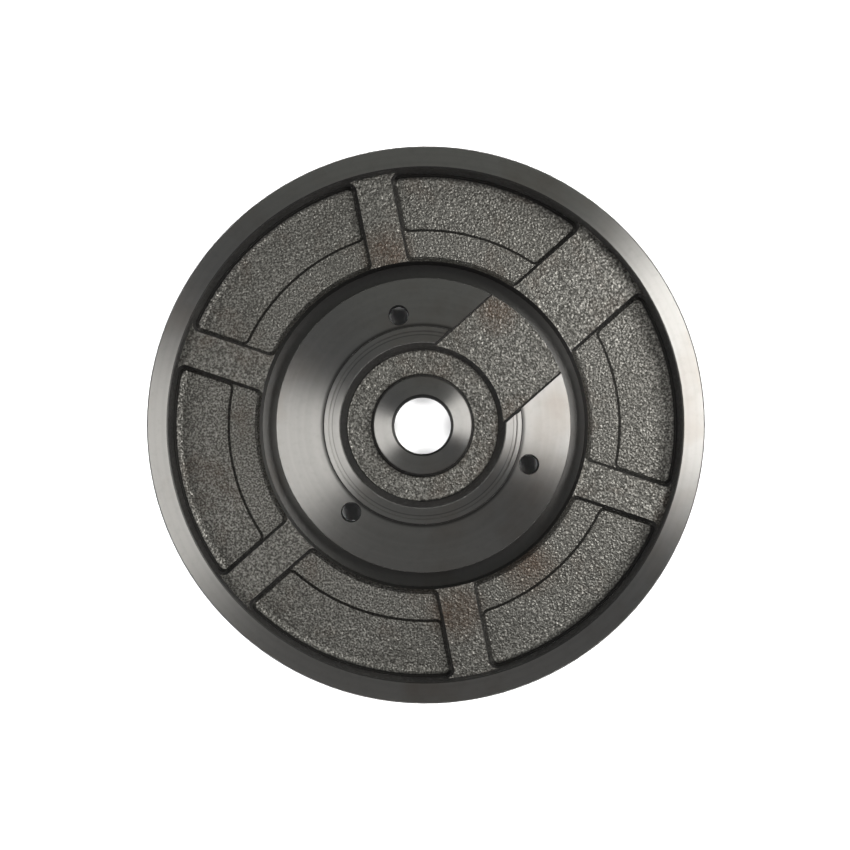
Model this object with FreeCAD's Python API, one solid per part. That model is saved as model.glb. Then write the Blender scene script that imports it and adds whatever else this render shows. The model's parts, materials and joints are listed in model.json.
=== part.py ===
import FreeCAD, Part
import math
import os

# Compressor back plate of a large turbocharger: one round iron casting, turned where it seats.
# The frame stands on the compressor-side face, with +Z along the bore towards the bearing housing.
# Lengths are in millimetres and angles in degrees. Radii are stacked outwards from the bore and
# levels are stacked upwards from the compressor-side face, so each width or height is set by itself.

# Bore and hub
BORE_RADIUS = 9.8
BORE_CHAMFER = 0.75
HUB_WALL = 6.85
HUB_EDGE_CHAMFER = 0.25
HUB_DRAFT = 12.0

# Oil well round the hub, and the sloping wall up to the machined disc
WELL_FLOOR_WIDTH = 8.4
WELL_WALL_WIDTH = 2.1
WELL_EDGE_CHAMFER = 0.35
WELL_FILLET = 0.9

# Machined disc that locates in the bearing housing
LAND_WIDTH = 3.65
RIDGE_WIDTH = 2.2
RIDGE_BEVEL = 0.45
DISC_WIDTH = 16.15
DISC_CHAMFER = 0.2

# Trench round the disc
TRENCH_WIDTH = 5.5

# Cast ring with six ribs and stepped pockets
POCKET_END_WIDTH = 1.45
SHELF_WIDTH = 9.4
POCKET_WIDTH = 19.45
RIB_WIDTH = 12.0
WIDE_RIB_WIDTH = 28.4
RIB_COUNT = 6
WIDE_RIB_ANGLE = 41.5
FLANK_DRAFT = 12.0
POCKET_END_DRAFT = 30.0
SHELF_CORNER_RADIUS = 2.4
POCKET_CORNER_RADIUS = 2.6
SHELF_BEVEL = 0.5
POCKET_BEVEL = 0.85

# Rim
RIM_WIDTH = 7.2
RIM_BORE_CHAMFER = 0.4
EDGE_CHAMFER = 0.5

# Compressor side: register for the compressor housing and recess for the wheel's back
REGISTER_STEP = 3.0
REGISTER_HEIGHT = 6.0
RECESS_DEPTH = 1.5
RECESS_MARGIN = 2.0

# Levels of the bearing-housing side
WELL_WEB = 5.5
WELL_DEPTH = 5.0
HUB_RISE = 4.0
RIDGE_RISE = 0.5
LAND_RISE = 0.5
CHANNEL_DEPTH = 1.2
TRENCH_WEB = 5.0
POCKET_WEB = 8.5
SHELF_STEP = 1.5
RIB_RISE = 3.0
RIM_RISE = 5.0

# Drain channel across the disc, in line with the wide rib
CHANNEL_WIDTH = 34.7
CHANNEL_DRAFT = 25.0
CHANNEL_FILLET = 0.5

# Three fixing screws, unevenly spaced so that the plate fits one way round only.
# Their angles are counted from the wide rib.
SCREW_SIZE = 6.0
SCREW_CLEARANCE = 0.6
SCREW_INSET = 4.4
SCREW_ANGLES = (60.75, 189.1, 298.2)
HEAD_RADIUS = 5.0
HEAD_CLEARANCE = 0.75
HEAD_SINK = 5.5
HOLE_CHAMFER = 0.15

# How far a cutting tool reaches past the face it opens
OVERRUN = 2.0

# Levels closer than this are the same level
SAME_LEVEL = 0.001

# Radii
hub_radius = BORE_RADIUS + HUB_WALL
hub_base_radius = hub_radius + HUB_RISE * math.tan(math.radians(HUB_DRAFT))
well_floor_radius = hub_base_radius + WELL_FLOOR_WIDTH
well_radius = well_floor_radius + WELL_WALL_WIDTH
ridge_inner_radius = well_radius + LAND_WIDTH
ridge_outer_radius = ridge_inner_radius + RIDGE_WIDTH
disc_radius = ridge_outer_radius + DISC_WIDTH
trench_radius = disc_radius + TRENCH_WIDTH
shelf_inner_radius = trench_radius + POCKET_END_WIDTH
shelf_outer_radius = shelf_inner_radius + SHELF_WIDTH
rim_bore_radius = shelf_outer_radius + POCKET_WIDTH
rim_radius = rim_bore_radius + RIM_WIDTH
register_radius = rim_radius - REGISTER_STEP
screw_radius = (SCREW_SIZE + SCREW_CLEARANCE) / 2
screw_circle_radius = ridge_outer_radius + SCREW_INSET
counterbore_radius = HEAD_RADIUS + HEAD_CLEARANCE
recess_radius = screw_circle_radius + counterbore_radius + RECESS_MARGIN

# Levels
well_level = RECESS_DEPTH + WELL_WEB
hub_level = well_level + HUB_RISE
land_level = well_level + WELL_DEPTH
ridge_level = land_level + RIDGE_RISE
disc_level = land_level - LAND_RISE
channel_level = disc_level - CHANNEL_DEPTH
pocket_level = POCKET_WEB
shelf_level = pocket_level + SHELF_STEP
rib_level = shelf_level + RIB_RISE
rim_level = rib_level + RIM_RISE

AXIS = FreeCAD.Vector(0, 0, 1)
ORIGIN = FreeCAD.Vector(0, 0, 0)


def corner(before, point, after, radius):
    """Start, middle and end of the arc that rounds one corner of a profile."""
    to_before = (before - point).normalize()
    to_after = (after - point).normalize()
    half_angle = to_before.getAngle(to_after) / 2
    reach = radius / math.tan(half_angle)
    inwards = (to_before + to_after).normalize()
    centre = point + inwards * (radius / math.sin(half_angle))
    return point + to_before * reach, centre - inwards * radius, point + to_after * reach


def turned(profile):
    """Solid of revolution about the bore of a closed profile of (radius, level, corner radius)."""
    points = [FreeCAD.Vector(radius, 0, level) for radius, level, _ in profile]
    count = len(points)
    arrivals = list(points)
    departures = list(points)
    arcs = []
    for index, (_, _, rounding) in enumerate(profile):
        if rounding:
            following = points[(index + 1) % count]
            start, middle, end = corner(points[index - 1], points[index], following, rounding)
            arrivals[index] = start
            departures[index] = end
            arcs.append(Part.Arc(start, middle, end).toShape())
    lines = [Part.makeLine(departures[index - 1], arrivals[index]) for index in range(count)]
    wire = Part.Wire(Part.__sortEdges__(arcs + lines))
    return Part.Face(wire).revolve(ORIGIN, AXIS, 360)


def plate_blank():
    """The turned form: rim, cast ring still solid, trench, disc, oil well, hub and compressor side."""
    return turned([
        (BORE_RADIUS, RECESS_DEPTH + BORE_CHAMFER, 0),
        (BORE_RADIUS + BORE_CHAMFER, RECESS_DEPTH, 0),
        (recess_radius, RECESS_DEPTH, 0),
        (recess_radius, 0, 0),
        (register_radius - EDGE_CHAMFER, 0, 0),
        (register_radius, EDGE_CHAMFER, 0),
        (register_radius, REGISTER_HEIGHT, 0),
        (rim_radius - EDGE_CHAMFER, REGISTER_HEIGHT, 0),
        (rim_radius, REGISTER_HEIGHT + EDGE_CHAMFER, 0),
        (rim_radius, rim_level - EDGE_CHAMFER, 0),
        (rim_radius - EDGE_CHAMFER, rim_level, 0),
        (rim_bore_radius + RIM_BORE_CHAMFER, rim_level, 0),
        (rim_bore_radius, rim_level - RIM_BORE_CHAMFER, 0),
        (rim_bore_radius, rib_level, 0),
        (trench_radius, rib_level, 0),
        (trench_radius, TRENCH_WEB, 0),
        (disc_radius, TRENCH_WEB, 0),
        (disc_radius, disc_level - DISC_CHAMFER, 0),
        (disc_radius - DISC_CHAMFER, disc_level, 0),
        (ridge_outer_radius, disc_level, 0),
        (ridge_outer_radius - RIDGE_BEVEL, ridge_level, 0),
        (ridge_inner_radius + RIDGE_BEVEL, ridge_level, 0),
        (ridge_inner_radius, land_level, 0),
        (well_radius + WELL_EDGE_CHAMFER, land_level, 0),
        (well_radius, land_level - WELL_EDGE_CHAMFER, 0),
        (well_floor_radius, well_level, WELL_FILLET),
        (hub_base_radius, well_level, WELL_FILLET),
        (hub_radius, hub_level - HUB_EDGE_CHAMFER, 0),
        (hub_radius - HUB_EDGE_CHAMFER, hub_level, 0),
        (BORE_RADIUS + BORE_CHAMFER, hub_level, 0),
        (BORE_RADIUS, hub_level - BORE_CHAMFER, 0),
    ])


def drafted_bar(width, draft, bottom, top, start, end, angle):
    """Straight bar along the direction angle, as wide as given at its top and wider below by its draft."""
    slope = math.tan(math.radians(draft))
    half_top = width / 2
    half_bottom = half_top + (top - bottom) * slope
    section = Part.makePolygon([
        FreeCAD.Vector(start, -half_bottom, bottom),
        FreeCAD.Vector(start, half_bottom, bottom),
        FreeCAD.Vector(start, half_top, top),
        FreeCAD.Vector(start, -half_top, top),
        FreeCAD.Vector(start, -half_bottom, bottom),
    ])
    bar = Part.Face(section).extrude(FreeCAD.Vector(end - start, 0, 0))
    bar.rotate(ORIGIN, AXIS, angle)
    return bar


def rib_angles():
    return [WIDE_RIB_ANGLE + index * 360 / RIB_COUNT for index in range(RIB_COUNT)]


def rib_bars(bottom):
    """The space that the ribs keep in a ring of pockets whose floor is at the level bottom."""
    bars = []
    for index, angle in enumerate(rib_angles()):
        width = RIB_WIDTH if index else WIDE_RIB_WIDTH
        bars.append(drafted_bar(width, FLANK_DRAFT, bottom, rib_level, 0, rim_radius, angle))
    return bars


def upright_edges(tool, floor):
    """Edges that run from the floor of a pocket tool up to its mouth."""
    found = []
    for edge in tool.Edges:
        low, high = edge.BoundBox.ZMin, edge.BoundBox.ZMax
        if abs(low - floor) < SAME_LEVEL and high - low > SAME_LEVEL:
            found.append(edge)
    return found


def floor_edges(tool, floor):
    return [edge for edge in tool.Edges if edge.BoundBox.ZMax - floor < SAME_LEVEL]


def pocket_tools(floor, inner_radius, inner_draft, outer_radius, corner_radius, bevel):
    """Tools for a ring of pockets between the ribs, with rounded corners and a bevelled floor."""
    height = rib_level - floor
    ring = turned([
        (inner_radius, floor, 0),
        (outer_radius, floor, 0),
        (outer_radius, rib_level, 0),
        (inner_radius - height * math.tan(math.radians(inner_draft)), rib_level, 0),
    ])
    tools = []
    for solid in ring.cut(rib_bars(floor)).Solids:
        rounded = solid.makeFillet(corner_radius, upright_edges(solid, floor))
        tools.append(rounded.makeChamfer(bevel, floor_edges(rounded, floor)))
    return tools


def ribbed(blank):
    """Sink the shelf-deep pockets and the deeper outer pockets between the ribs."""
    middle_radius = shelf_outer_radius + POCKET_WIDTH / 2
    shelves = pocket_tools(shelf_level, shelf_inner_radius, POCKET_END_DRAFT, middle_radius,
                           SHELF_CORNER_RADIUS, SHELF_BEVEL)
    pockets = pocket_tools(pocket_level, shelf_outer_radius, FLANK_DRAFT, rim_bore_radius,
                           POCKET_CORNER_RADIUS, POCKET_BEVEL)
    return blank.cut(shelves + pockets)


def channel_tool():
    """Drain channel from the oil well out to the trench, between drafted walls."""
    top = ridge_level + OVERRUN
    slope = math.tan(math.radians(CHANNEL_DRAFT))
    wide_top = CHANNEL_WIDTH + 2 * (top - channel_level) * slope
    bar = drafted_bar(wide_top, -CHANNEL_DRAFT, channel_level, top, 0, trench_radius, WIDE_RIB_ANGLE)
    inner = (hub_base_radius + well_floor_radius) / 2
    outer = (disc_radius + trench_radius) / 2
    ring = turned([
        (inner, channel_level, 0),
        (outer, channel_level, 0),
        (outer, top, 0),
        (inner, top, 0),
    ])
    tool = ring.common(bar)
    long_floor_edges = [edge for edge in floor_edges(tool, channel_level)
                        if edge.Curve.TypeId == "Part::GeomLine"]
    return tool.makeFillet(CHANNEL_FILLET, long_floor_edges)


def screw_tool(angle):
    """Clearance hole for one screw, chamfered above and counterbored below for its head."""
    tool = turned([
        (0, RECESS_DEPTH - OVERRUN, 0),
        (counterbore_radius, RECESS_DEPTH - OVERRUN, 0),
        (counterbore_radius, RECESS_DEPTH + HEAD_SINK, 0),
        (screw_radius, RECESS_DEPTH + HEAD_SINK, 0),
        (screw_radius, disc_level - HOLE_CHAMFER, 0),
        (screw_radius + HOLE_CHAMFER + OVERRUN, disc_level + OVERRUN, 0),
        (0, disc_level + OVERRUN, 0),
    ])
    tool.translate(FreeCAD.Vector(screw_circle_radius, 0, 0))
    tool.rotate(ORIGIN, AXIS, angle)
    return tool


def back_plate():
    plate = ribbed(plate_blank())
    plate = plate.cut(channel_tool())
    plate = plate.cut([screw_tool(WIDE_RIB_ANGLE + angle) for angle in SCREW_ANGLES])
    return plate.removeSplitter()


os.makedirs("parts", exist_ok=True)
plate = back_plate()
plate.exportStep("parts/back_plate.step")
print("valid", plate.isValid(), "solids", len(plate.Solids), "faces", len(plate.Faces))
print("volume", round(plate.Volume / 1000, 1), "cm3, diameter", round(2 * rim_radius, 2),
      "height", round(rim_level, 2))
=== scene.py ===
import bpy
import json
import math
from mathutils import Matrix, Vector

# Looks of the compressor back plate. Lengths are in metres, angles in degrees.
# The plate lies on its compressor side, with the bore on the Z axis.

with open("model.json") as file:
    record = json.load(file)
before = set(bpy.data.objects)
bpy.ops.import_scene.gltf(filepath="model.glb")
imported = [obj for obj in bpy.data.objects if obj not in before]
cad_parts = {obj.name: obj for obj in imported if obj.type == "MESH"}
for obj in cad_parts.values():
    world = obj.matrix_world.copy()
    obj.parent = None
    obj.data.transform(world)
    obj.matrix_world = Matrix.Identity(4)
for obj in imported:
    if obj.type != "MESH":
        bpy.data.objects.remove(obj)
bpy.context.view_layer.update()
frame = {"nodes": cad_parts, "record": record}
plate = frame["nodes"]["back_plate"]

# Radii that part one finish of the casting from the next
BORE_RADIUS = 0.0098
BORE_CHAMFER = 0.00075
HUB_RADIUS = 0.01665
WELL_RADIUS = 0.0280
DISC_RADIUS = 0.0500
TRENCH_RADIUS = 0.0555
RIM_BORE_RADIUS = 0.0858
RIM_BORE_CHAMFER = 0.0004
SCREW_HOLE_REACH = 0.0036
NEAR = 0.00006

# The disc's turned faces lie above the first level and the hub's top above the second
DISC_LOWEST = 0.0112
HUB_TOP_LOWEST = 0.0100

# How far a face's normal rises: less than the first is a wall, and less than the second a bevel
WALL_RISE = 0.6
BEVEL_RISE = 0.8

# Width of the sloping lip that each shelf has towards the trench, and the least rise of its normal
LIP_WIDTH = 0.0015
LIP_RISE = 0.4

# Middle and half width of the low ridge on the disc
RIDGE_RADIUS = 0.03275
RIDGE_REACH = 0.0012

# Colours of the casting: its dark and bright grains, its stains, and the painted shade where it slopes out
# of the light and at the foot of the rim's wall
DARK_GRAIN = (0.118, 0.115, 0.105)
BRIGHT_GRAIN = (0.45, 0.44, 0.405)
DULL_IRON = (0.10, 0.095, 0.08)
RUST = (0.12, 0.07, 0.042)
PAINTED_SHADE_IRON = (0.055, 0.054, 0.051)

# Cells to a metre of the casting's pits, lumps and grains, and how high they stand
PIT_SCALE = 1300.0
LUMP_SCALE = 900.0
GRAIN_SCALE = 1500.0
GRAIN_HEIGHT = 0.00021

# Fillet between the deep pockets' floor and the rim's wall: where it starts to rise, where it falls
# into painted shade, where it ends, and its height. It stays below the shelves.
FILLET_START = 0.0822
FILLET_PAINTED_SHADE = 0.0838
FILLET_END = 0.0852
FILLET_RISE = 0.0011
BELOW_SHELVES = 0.0092
AT_SHELVES = 0.0096

# Dark rings on the disc: radius, width and darkness. The inner one is a thin dark line; the outer one is
# painted shade at the foot of the ridge.
DARK_LINE_AND_RIDGE_SHADE = ((0.0307, 0.0003, 0.5), (0.0341, 0.0009, 0.75))
DARK_LINE_AND_SHADE_COLOR = (0.03, 0.029, 0.028)

# Grooves to a metre of the turned faces, fine and broad
FINE_RINGS = 2600.0
BROAD_RINGS = 420.0

# Rusty spots: place across and along, and reach
RUST_SPOTS = ((-0.012, 0.059, 0.011),
              (0.011, -0.063, 0.012),
              (0.036, -0.048, 0.012),
              (0.025, 0.038, 0.009))

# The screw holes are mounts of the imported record
SCREW_HOLES = [mount["pos_m"] for mount in frame["record"]["mounts"]
               if mount["name"].startswith("screw_hole")]


def material(name, color, metallic, roughness):
    """New material, and the graph that its detail is added to."""
    made = bpy.data.materials.new(name)
    made.use_nodes = True
    made.diffuse_color = (*color, 1)
    shader = made.node_tree.nodes["Principled BSDF"]
    shader.inputs["Base Color"].default_value = (*color, 1)
    shader.inputs["Metallic"].default_value = metallic
    shader.inputs["Roughness"].default_value = roughness
    return made, Graph(made.node_tree, shader)


class Graph:
    """Adds nodes to one material, with plain names for the few kinds that are used here."""

    def __init__(self, tree, shader):
        self.tree = tree
        self.shader = shader

    def node(self, kind, inputs=None, **settings):
        made = self.tree.nodes.new(kind)
        for key, value in settings.items():
            setattr(made, key, value)
        for key, value in (inputs or {}).items():
            if isinstance(value, bpy.types.NodeSocket):
                self.tree.links.new(value, made.inputs[key])
            else:
                made.inputs[key].default_value = value
        return made

    def math(self, operation, *values):
        made = self.node("ShaderNodeMath", operation=operation)
        for index, value in enumerate(values):
            if isinstance(value, bpy.types.NodeSocket):
                self.tree.links.new(value, made.inputs[index])
            else:
                made.inputs[index].default_value = value
        return made.outputs[0]

    def place(self):
        return self.node("ShaderNodeTexCoord").outputs["Object"]

    def height(self, place):
        """Level of a place above the floor."""
        return self.node("ShaderNodeSeparateXYZ", {"Vector": place}).outputs["Z"]

    def noise(self, place, scale, detail=2.0, roughness=0.5):
        made = self.node("ShaderNodeTexNoise",
                         {"Vector": place, "Scale": scale, "Detail": detail, "Roughness": roughness})
        return made.outputs["Fac"]

    def spread(self, value, low, high, to_low, to_high):
        """The value, stretched from the range low to high onto the range to_low to to_high."""
        made = self.node("ShaderNodeMapRange", {"Value": value, "From Min": low, "From Max": high,
                                                "To Min": to_low, "To Max": to_high})
        return made.outputs["Result"]

    def mix(self, factor, first, second):
        """The first colour where the factor is 0 and the second where it is 1."""
        made = self.node("ShaderNodeMix", data_type="RGBA")
        for socket, value in ((made.inputs[0], factor), (made.inputs[6], first), (made.inputs[7], second)):
            if isinstance(value, bpy.types.NodeSocket):
                self.tree.links.new(value, socket)
            elif isinstance(value, tuple):
                socket.default_value = (*value, 1)
            else:
                socket.default_value = value
        return made.outputs[2]

    def rings(self, radius, scale, detail):
        """Grooves round the bore that change with the radius alone."""
        made = self.node("ShaderNodeTexNoise", {"W": radius, "Scale": scale, "Detail": detail},
                         noise_dimensions="1D")
        return made.outputs["Fac"]

    def bump(self, height, distance):
        return self.node("ShaderNodeBump", {"Height": height, "Distance": distance}).outputs["Normal"]

    def set(self, name, value):
        self.tree.links.new(value, self.shader.inputs[name])


# The colour times a share: random darker tones, and painted shade on walls
def tone_or_painted_shade(color, share):
    return tuple(channel * share for channel in color)


def slope(graph):
    """How far a surface faces up or down: 1 where it is level and 0 where it is upright."""
    normal = graph.node("ShaderNodeNewGeometry").outputs["Normal"]
    parts = graph.node("ShaderNodeSeparateXYZ", {"Vector": normal})
    return graph.math("ABSOLUTE", parts.outputs["Z"])


def distance_from_axis(graph, place, axis=(0.0, 0.0)):
    """Distance from an upright axis, which is the bore's unless another is given."""
    offset = graph.node("ShaderNodeVectorMath", {0: place, 1: (*axis, 0.0)}, operation="SUBTRACT")
    flat = graph.node("ShaderNodeVectorMath", {0: offset.outputs["Vector"], 1: (1.0, 1.0, 0.0)},
                      operation="MULTIPLY")
    length = graph.node("ShaderNodeVectorMath", {0: flat.outputs["Vector"]}, operation="LENGTH")
    return length.outputs["Value"]


def rust(graph, place):
    """Brown stain, from 0 to 1: thin clouds all over and a few stronger spots."""
    clouds = graph.noise(place, 150.0, 3.0, 0.6)
    total = graph.spread(graph.noise(place, 60.0, 3.0, 0.6), 0.55, 0.75, 0.0, 0.3)
    for x, y, reach in RUST_SPOTS:
        near = graph.spread(distance_from_axis(graph, place, (x, y)), 0.2 * reach, reach, 1.0, 0.0)
        total = graph.math("MAXIMUM", total, graph.math("MULTIPLY", near, clouds))
    return total


def lit_part(graph, radius):
    """How much of the shot and the light a cast surface takes: less where it slopes, but not on the lip. Its
    colour takes this as painted shade.
    """
    level_part = graph.spread(slope(graph), 0.68, 0.97, 0.0, 1.0)
    from_lip = graph.math("ABSOLUTE", graph.math("SUBTRACT", radius, TRENCH_RADIUS + LIP_WIDTH / 2))
    lip_part = graph.spread(from_lip, LIP_WIDTH / 2, LIP_WIDTH * 0.7, 0.8, 0.0)
    return graph.math("MAXIMUM", level_part, lip_part)


def cast_iron():
    """Shot-blasted casting: bright and dark grains, with a fillet round the foot of the rim's wall, painted
    shade at that foot, and painted shade where it slopes.
    """
    made, graph = material("cast_iron", (0.16, 0.155, 0.14), 0.85, 0.45)
    place = graph.place()
    radius = distance_from_axis(graph, place)
    lit = lit_part(graph, radius)
    below_shelves = graph.spread(graph.height(place), BELOW_SHELVES, AT_SHELVES, 1.0, 0.0)

    speckle = graph.spread(graph.noise(place, GRAIN_SCALE, 1.0), 0.39, 0.74, 0.0, 1.0)
    clouds = graph.spread(graph.noise(place, 45.0, 3.0), 0.35, 0.65, 0.0, 0.2)
    fillet_painted_shade = graph.spread(radius, FILLET_PAINTED_SHADE, FILLET_END, 0.0, 0.85)
    color = graph.mix(speckle, DARK_GRAIN, BRIGHT_GRAIN)
    color = graph.mix(clouds, color, DULL_IRON)
    color = graph.mix(rust(graph, place), color, RUST)
    # Painted shade at the foot of the rim's wall, below the shelves
    color = graph.mix(graph.math("MULTIPLY", fillet_painted_shade, below_shelves), color, PAINTED_SHADE_IRON)
    # Painted shade: where the casting slopes, its colour goes to the painted shade colour
    graph.set("Base Color", graph.mix(lit, PAINTED_SHADE_IRON, color))
    graph.set("Roughness", graph.spread(speckle, 0.0, 1.0, 0.54, 0.36))

    cells = graph.node("ShaderNodeTexVoronoi", {"Vector": place, "Scale": PIT_SCALE})
    pits = graph.math("MULTIPLY", cells.outputs["Distance"], 0.8)
    lumps = graph.noise(place, LUMP_SCALE, 2.0, 0.6)
    grain = graph.math("MULTIPLY", graph.math("ADD", pits, lumps), graph.math("MULTIPLY", lit, GRAIN_HEIGHT))
    fillet = graph.math("POWER", graph.spread(radius, FILLET_START, FILLET_END, 0.0, 1.0), 2.0)
    fillet = graph.math("MULTIPLY", graph.math("MULTIPLY", fillet, FILLET_RISE), below_shelves)
    graph.set("Normal", graph.bump(graph.math("ADD", grain, fillet), 1.0))
    return made


def painted_shade_iron(name, tone, specular):
    """Steep walls and holes that neither the shot nor much light reaches, painted dark as painted shade."""
    made, graph = material(name, (tone, tone, tone), 0.2, 0.6)
    place = graph.place()
    grain = graph.noise(place, 900.0, 2.0)
    clouds = graph.spread(graph.noise(place, 50.0, 2.0), 0.35, 0.65, 0.0, 1.0)
    darker = (0.85 * tone, 0.84 * tone, 0.82 * tone)
    lighter = (1.2 * tone, 1.16 * tone, 1.1 * tone)
    graph.set("Base Color", graph.mix(clouds, darker, lighter))
    graph.set("Roughness", graph.spread(grain, 0.3, 0.7, 0.5, 0.7))
    graph.shader.inputs["Specular IOR Level"].default_value = specular
    graph.set("Normal", graph.bump(grain, 0.00006))
    return made


def turned_iron(name, color, roughness, anisotropy, ring_depth, wall_painted_shade=1.0):
    """Face cut on a lathe: fine rings round the bore, which draw the light out into wedges.

    Its upright walls are painted darker than its level faces, as painted shade, where the share given for
    walls is below 1.
    """
    made, graph = material(name, color, 1.0, roughness)
    place = graph.place()
    radius = distance_from_axis(graph, place)
    fine = graph.rings(radius, FINE_RINGS, 2.0)
    broad = graph.spread(graph.rings(radius, BROAD_RINGS, 1.0), 0.3, 0.7, 0.0, 1.0)
    mottle = graph.spread(graph.noise(place, 420.0, 2.0, 0.6), 0.5, 0.75, 0.0, 0.25)
    stains = graph.spread(graph.noise(place, 38.0, 3.0, 0.6), 0.52, 0.74, 0.0, 0.4)
    red, green, blue = color
    tone = graph.mix(broad, tone_or_painted_shade(color, 0.93), color)
    tone = graph.mix(mottle, tone, tone_or_painted_shade(color, 0.7))
    tone = graph.mix(stains, tone, (0.66 * red, 0.55 * green, 0.47 * blue))
    # Dark rings: a thin dark line, and painted shade at the foot of the ridge
    for ring, width, strength in DARK_LINE_AND_RIDGE_SHADE:
        away = graph.math("ABSOLUTE", graph.math("SUBTRACT", radius, ring))
        tone = graph.mix(graph.spread(away, 0.0, width, strength, 0.0), tone, DARK_LINE_AND_SHADE_COLOR)
    # Painted shade: upright walls take a darker copy of the colour
    level_part = graph.spread(slope(graph), 0.3, 0.7, 0.0, 1.0)
    graph.set("Base Color", graph.mix(level_part, tone_or_painted_shade(color, wall_painted_shade), tone))
    graph.set("Roughness", graph.spread(fine, 0.25, 0.75, roughness - 0.015, roughness + 0.02))
    graph.shader.inputs["Anisotropic"].default_value = anisotropy
    graph.shader.inputs["Anisotropic Rotation"].default_value = 0.25
    tangent = graph.node("ShaderNodeTangent", direction_type="RADIAL", axis="Z")
    graph.set("Tangent", tangent.outputs["Tangent"])
    graph.set("Normal", graph.bump(fine, ring_depth))
    return made


def broken_edge():
    """Small chamfers that take the light from all round, as sharp turned edges do."""
    made, graph = material("broken_edge", (0.3, 0.295, 0.282), 0.7, 0.45)
    wear = graph.noise(graph.place(), 700.0, 2.0)
    worn_part = graph.spread(wear, 0.3, 0.7, 0.0, 1.0)
    graph.set("Base Color", graph.mix(worn_part, (0.24, 0.235, 0.225), (0.36, 0.352, 0.338)))
    graph.set("Roughness", graph.spread(wear, 0.3, 0.7, 0.4, 0.5))
    graph.set("Normal", graph.bump(wear, 0.00001))
    return made


# Material slots of the casting, in the order of its finishes
# DARK and HOLE carry painted shade: dark colours put on steep walls and in the screw holes
CAST, TURNED, BORED, TRENCH, EDGE, DARK, HOLE = range(7)


def in_screw_hole(centre):
    for x, y, _ in SCREW_HOLES:
        if math.hypot(centre.x - x, centre.y - y) < SCREW_HOLE_REACH:
            return True
    return False


def finish_of(centre, normal):
    """Which finish one face of the casting has, from its place and direction; steep walls and screw holes
    get painted shade.
    """
    radius = math.hypot(centre.x, centre.y)
    level = centre.z
    faces_down = normal.z < -WALL_RISE
    upright = abs(normal.z) < WALL_RISE
    bevelled = WALL_RISE < normal.z < BEVEL_RISE
    on_ridge = abs(radius - RIDGE_RADIUS) < RIDGE_REACH
    if in_screw_hole(centre):
        return HOLE
    if radius < BORE_RADIUS + BORE_CHAMFER:
        return BORED
    if faces_down or radius > RIM_BORE_RADIUS + RIM_BORE_CHAMFER:
        return EDGE if bevelled else TURNED
    if radius > RIM_BORE_RADIUS + NEAR:
        return BORED
    if radius > TRENCH_RADIUS + NEAR:
        at_lip = radius < TRENCH_RADIUS + LIP_WIDTH and normal.z > LIP_RISE
        return CAST if at_lip or not upright else DARK
    if radius > DISC_RADIUS - NEAR:
        return TRENCH
    if level > DISC_LOWEST and radius > WELL_RADIUS - NEAR:
        if upright:
            return DARK
        return EDGE if bevelled and not on_ridge else TURNED
    if radius < HUB_RADIUS and level > HUB_TOP_LOWEST:
        return TURNED
    return DARK if upright else CAST


finishes = [
    cast_iron(),
    turned_iron("turned_iron", (0.47, 0.462, 0.444), roughness=0.32, anisotropy=0.97, ring_depth=0.0000008),
    # The bored faces are rougher; their darker colour is painted shade on these walls and chamfers
    turned_iron("bored_iron_painted_shade", (0.16, 0.158, 0.154), roughness=0.42, anisotropy=0.8, ring_depth=0.0000020),
    # The trench's upright walls get painted shade
    turned_iron("trench_iron", (0.31, 0.305, 0.295), roughness=0.44, anisotropy=0.93, ring_depth=0.0000008,
                wall_painted_shade=0.35),
    broken_edge(),
    # Painted shade on steep walls, and darker painted shade in the screw holes
    painted_shade_iron("painted_shade_iron", tone=0.05, specular=0.5),
    painted_shade_iron("screw_hole_painted_shade", tone=0.012, specular=0.15),
]
plate.data.materials.clear()
for finish in finishes:
    plate.data.materials.append(finish)
for face in plate.data.polygons:
    face.material_index = finish_of(face.center, face.normal)


def area_light(name, azimuth, elevation, distance, size, power, color):
    """Square light that faces the middle of the plate and stays out of the camera's view."""
    light = bpy.data.lights.new(name, "AREA")
    light.size = size
    light.energy = power
    light.color = color
    placed = bpy.data.objects.new(name, light)
    bpy.context.collection.objects.link(placed)
    around = math.radians(azimuth)
    above = math.radians(elevation)
    flat = math.cos(above)
    towards = Vector((math.cos(around) * flat, math.sin(around) * flat, math.sin(above)))
    placed.location = towards * distance
    placed.rotation_euler = (-towards).to_track_quat("-Z", "Y").to_euler()
    placed.visible_camera = False
    return placed


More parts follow.
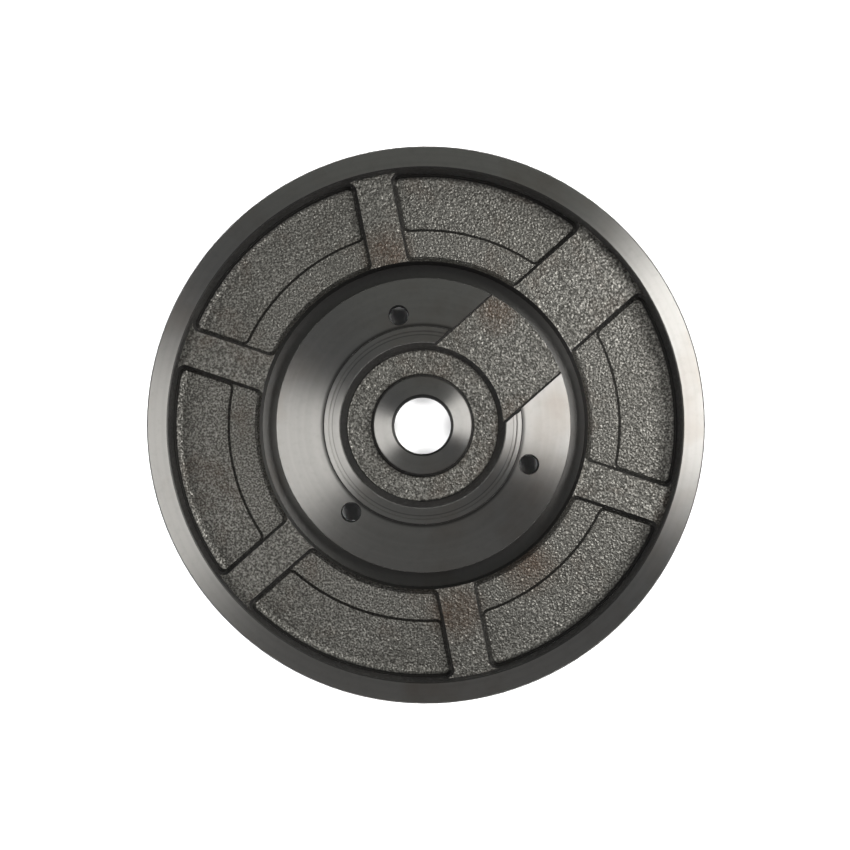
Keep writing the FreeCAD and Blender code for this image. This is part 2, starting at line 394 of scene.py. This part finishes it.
def backdrop():
    """Pale floor that curves up into a wall all round."""
    floor_radius = 1.0
    bend = 0.4
    height = 0.6
    columns = 96
    bend_steps = 12
    profile = [(floor_radius, 0.0)]
    for step in range(1, bend_steps + 1):
        angle = math.pi / 2 * step / bend_steps
        profile.append((floor_radius + bend * math.sin(angle), bend - bend * math.cos(angle)))
    profile.append((floor_radius + bend, height))
    points = [(0.0, 0.0, 0.0)]
    for radius, level in profile:
        for column in range(columns):
            angle = 2 * math.pi * column / columns
            points.append((radius * math.cos(angle), radius * math.sin(angle), level))
    faces = []
    for column in range(columns):
        following = (column + 1) % columns
        faces.append((0, 1 + column, 1 + following))
        for ring in range(len(profile) - 1):
            low = 1 + ring * columns
            high = low + columns
            faces.append((low + column, high + column, high + following, low + following))
    mesh = bpy.data.meshes.new("backdrop")
    mesh.from_pydata(points, [], faces)
    for face in mesh.polygons:
        face.use_smooth = True
    sheet = bpy.data.objects.new("backdrop", mesh)
    bpy.context.collection.objects.link(sheet)
    made, graph = material("backdrop_white", (0.93, 0.93, 0.93), 0.0, 0.7)
    grain = graph.noise(graph.place(), 300.0, 2.0)
    graph.set("Roughness", graph.spread(grain, 0.3, 0.7, 0.6, 0.8))
    mesh.materials.append(made)
    sheet.visible_glossy = False
    return sheet


def plate_lights():
    """Two side lights that make the bright wedges, and two faint tinted fills across them."""
    area_light("key", azimuth=14, elevation=55, distance=0.70, size=0.36, power=2.2,
               color=(1.0, 0.985, 0.965))
    area_light("left_window", azimuth=188, elevation=54, distance=0.80, size=0.42, power=0.97,
               color=(1.0, 0.985, 0.96))
    area_light("warm_fill", azimuth=268, elevation=52, distance=1.0, size=0.9, power=0.07,
               color=(1.0, 0.70, 0.60))
    area_light("green_fill", azimuth=82, elevation=52, distance=1.0, size=0.9, power=0.25,
               color=(0.94, 1.0, 0.80))


def stage_lights(stage):
    """Even white light from four sides that falls on the backdrop alone."""
    count = 4
    stage_only = bpy.data.collections.new("stage_only")
    stage_only.objects.link(stage)
    for index in range(count):
        lamp = area_light(f"stage_light_{index}", azimuth=360 / count * index, elevation=54, distance=1.3,
                          size=0.4, power=11.0, color=(1, 1, 1))
        lamp.light_linking.receiver_collection = stage_only


def sky():
    """Faint even light from all round."""
    world = bpy.data.worlds.new("studio")
    world.use_nodes = True
    background = world.node_tree.nodes["Background"]
    background.inputs["Color"].default_value = (0.95, 0.97, 1.0, 1)
    background.inputs["Strength"].default_value = 0.115
    bpy.context.scene.world = world


def camera_above():
    """Camera straight above the plate, a little off the bore's axis and hardly tilted."""
    camera_data = bpy.data.cameras.new("camera")
    camera_data.lens = 45.73
    camera_data.sensor_width = 36.0
    camera_data.shift_x = 0.0613
    camera_data.shift_y = 0.03005
    camera = bpy.data.objects.new("camera", camera_data)
    bpy.context.collection.objects.link(camera)
    camera.location = (0.0003, -0.0098, 0.378)
    turned_left = Matrix.Rotation(math.radians(2.68), 4, "Y")
    turned_up = Matrix.Rotation(math.radians(0.19), 4, "X")
    camera.rotation_euler = (turned_left @ turned_up).to_euler()
    bpy.context.scene.camera = camera


plate_lights()
stage_lights(backdrop())
sky()
camera_above()
bpy.context.scene.view_settings.view_transform = "Standard"
